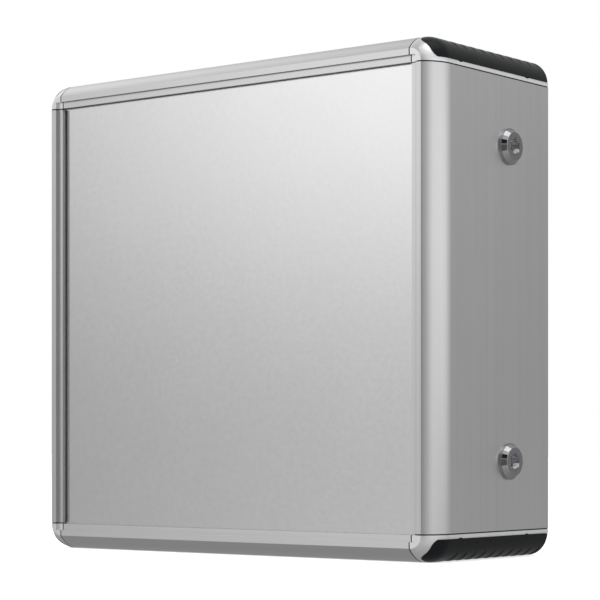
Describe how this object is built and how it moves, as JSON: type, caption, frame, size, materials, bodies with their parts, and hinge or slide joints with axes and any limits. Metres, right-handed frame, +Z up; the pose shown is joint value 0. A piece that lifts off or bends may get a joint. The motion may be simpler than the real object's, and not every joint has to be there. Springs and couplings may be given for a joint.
{
  "type": "extruded aluminium enclosure",
  "caption": "Box-shaped aluminium enclosure of extruded sides and die-cast corner bars with ribbed bumpers, an inset front panel and a hinged rear door held by quarter-turn locks.",
  "frame": {"origin": "centre of the bottom extrusion's outer face, halfway back through the depth", "axes": "+Z up, the front panel faces -Y, the rear door +Y, the locks +X and the hinges -X"},
  "size_m": [0.2554, 0.1072, 0.244],
  "materials": {
    "extrusion": "natural anodised, satin, with faint die lines along its length",
    "casting": "die-cast, light satin",
    "panel": "natural anodised sheet, satin",
    "door": "natural anodised sheet, satin",
    "bumper": "matt charcoal, moulded",
    "seal": "matt black foam",
    "lock": "nickel-plated, polished",
    "catch": "zinc-plated steel",
    "hinge": "stainless, satin",
    "fastener": "zinc-plated steel"
  },
  "bodies": {
    "frame": {"right_profile": "extrusion", "left_profile": "extrusion", "top_profile": "extrusion", "bottom_profile": "extrusion", "corner_top_right": "casting", "corner_top_left": "casting", "corner_bottom_right": "casting", "corner_bottom_left": "casting", "bumper_top_right": "bumper", "bumper_top_left": "bumper", "bumper_bottom_right": "bumper", "bumper_bottom_left": "bumper", "corner_screws": "fastener", "front_panel": "panel", "front_seal": "seal", "hinge_frame_leaves": "hinge", "hinge_pins": "hinge", "hinge_frame_screws": "fastener", "upper_lock_body": "lock", "lower_lock_body": "lock", "lock_nuts": "fastener"},
    "rear_door": {"rear_door": "door", "door_seal": "seal", "hinge_door_leaves": "hinge", "hinge_door_screws": "fastener", "upper_catch": "catch", "lower_catch": "catch", "catch_pins": "fastener", "catch_screws": "fastener"},
    "upper_lock": {"upper_lock_spindle": "lock", "upper_lock_cam": "catch", "upper_cam_screw": "fastener"},
    "lower_lock": {"lower_lock_spindle": "lock", "lower_lock_cam": "catch", "lower_cam_screw": "fastener"}
  },
  "joints": [
    {"name": "rear_door_hinge", "type": "hinge", "parent": "frame", "child": "rear_door", "pos_m": [-0.1235, 0.0537, 0.122], "axis": [0, 0, 1], "range_deg": [0, 110]},
    {"name": "upper_lock_turn", "type": "hinge", "parent": "frame", "child": "upper_lock", "pos_m": [0.125, 0.014, 0.1974], "axis": [-1, 0, 0], "range_deg": [0, 90]},
    {"name": "lower_lock_turn", "type": "hinge", "parent": "frame", "child": "lower_lock", "pos_m": [0.125, 0.014, 0.0466], "axis": [-1, 0, 0], "range_deg": [0, 90]}
  ]
}
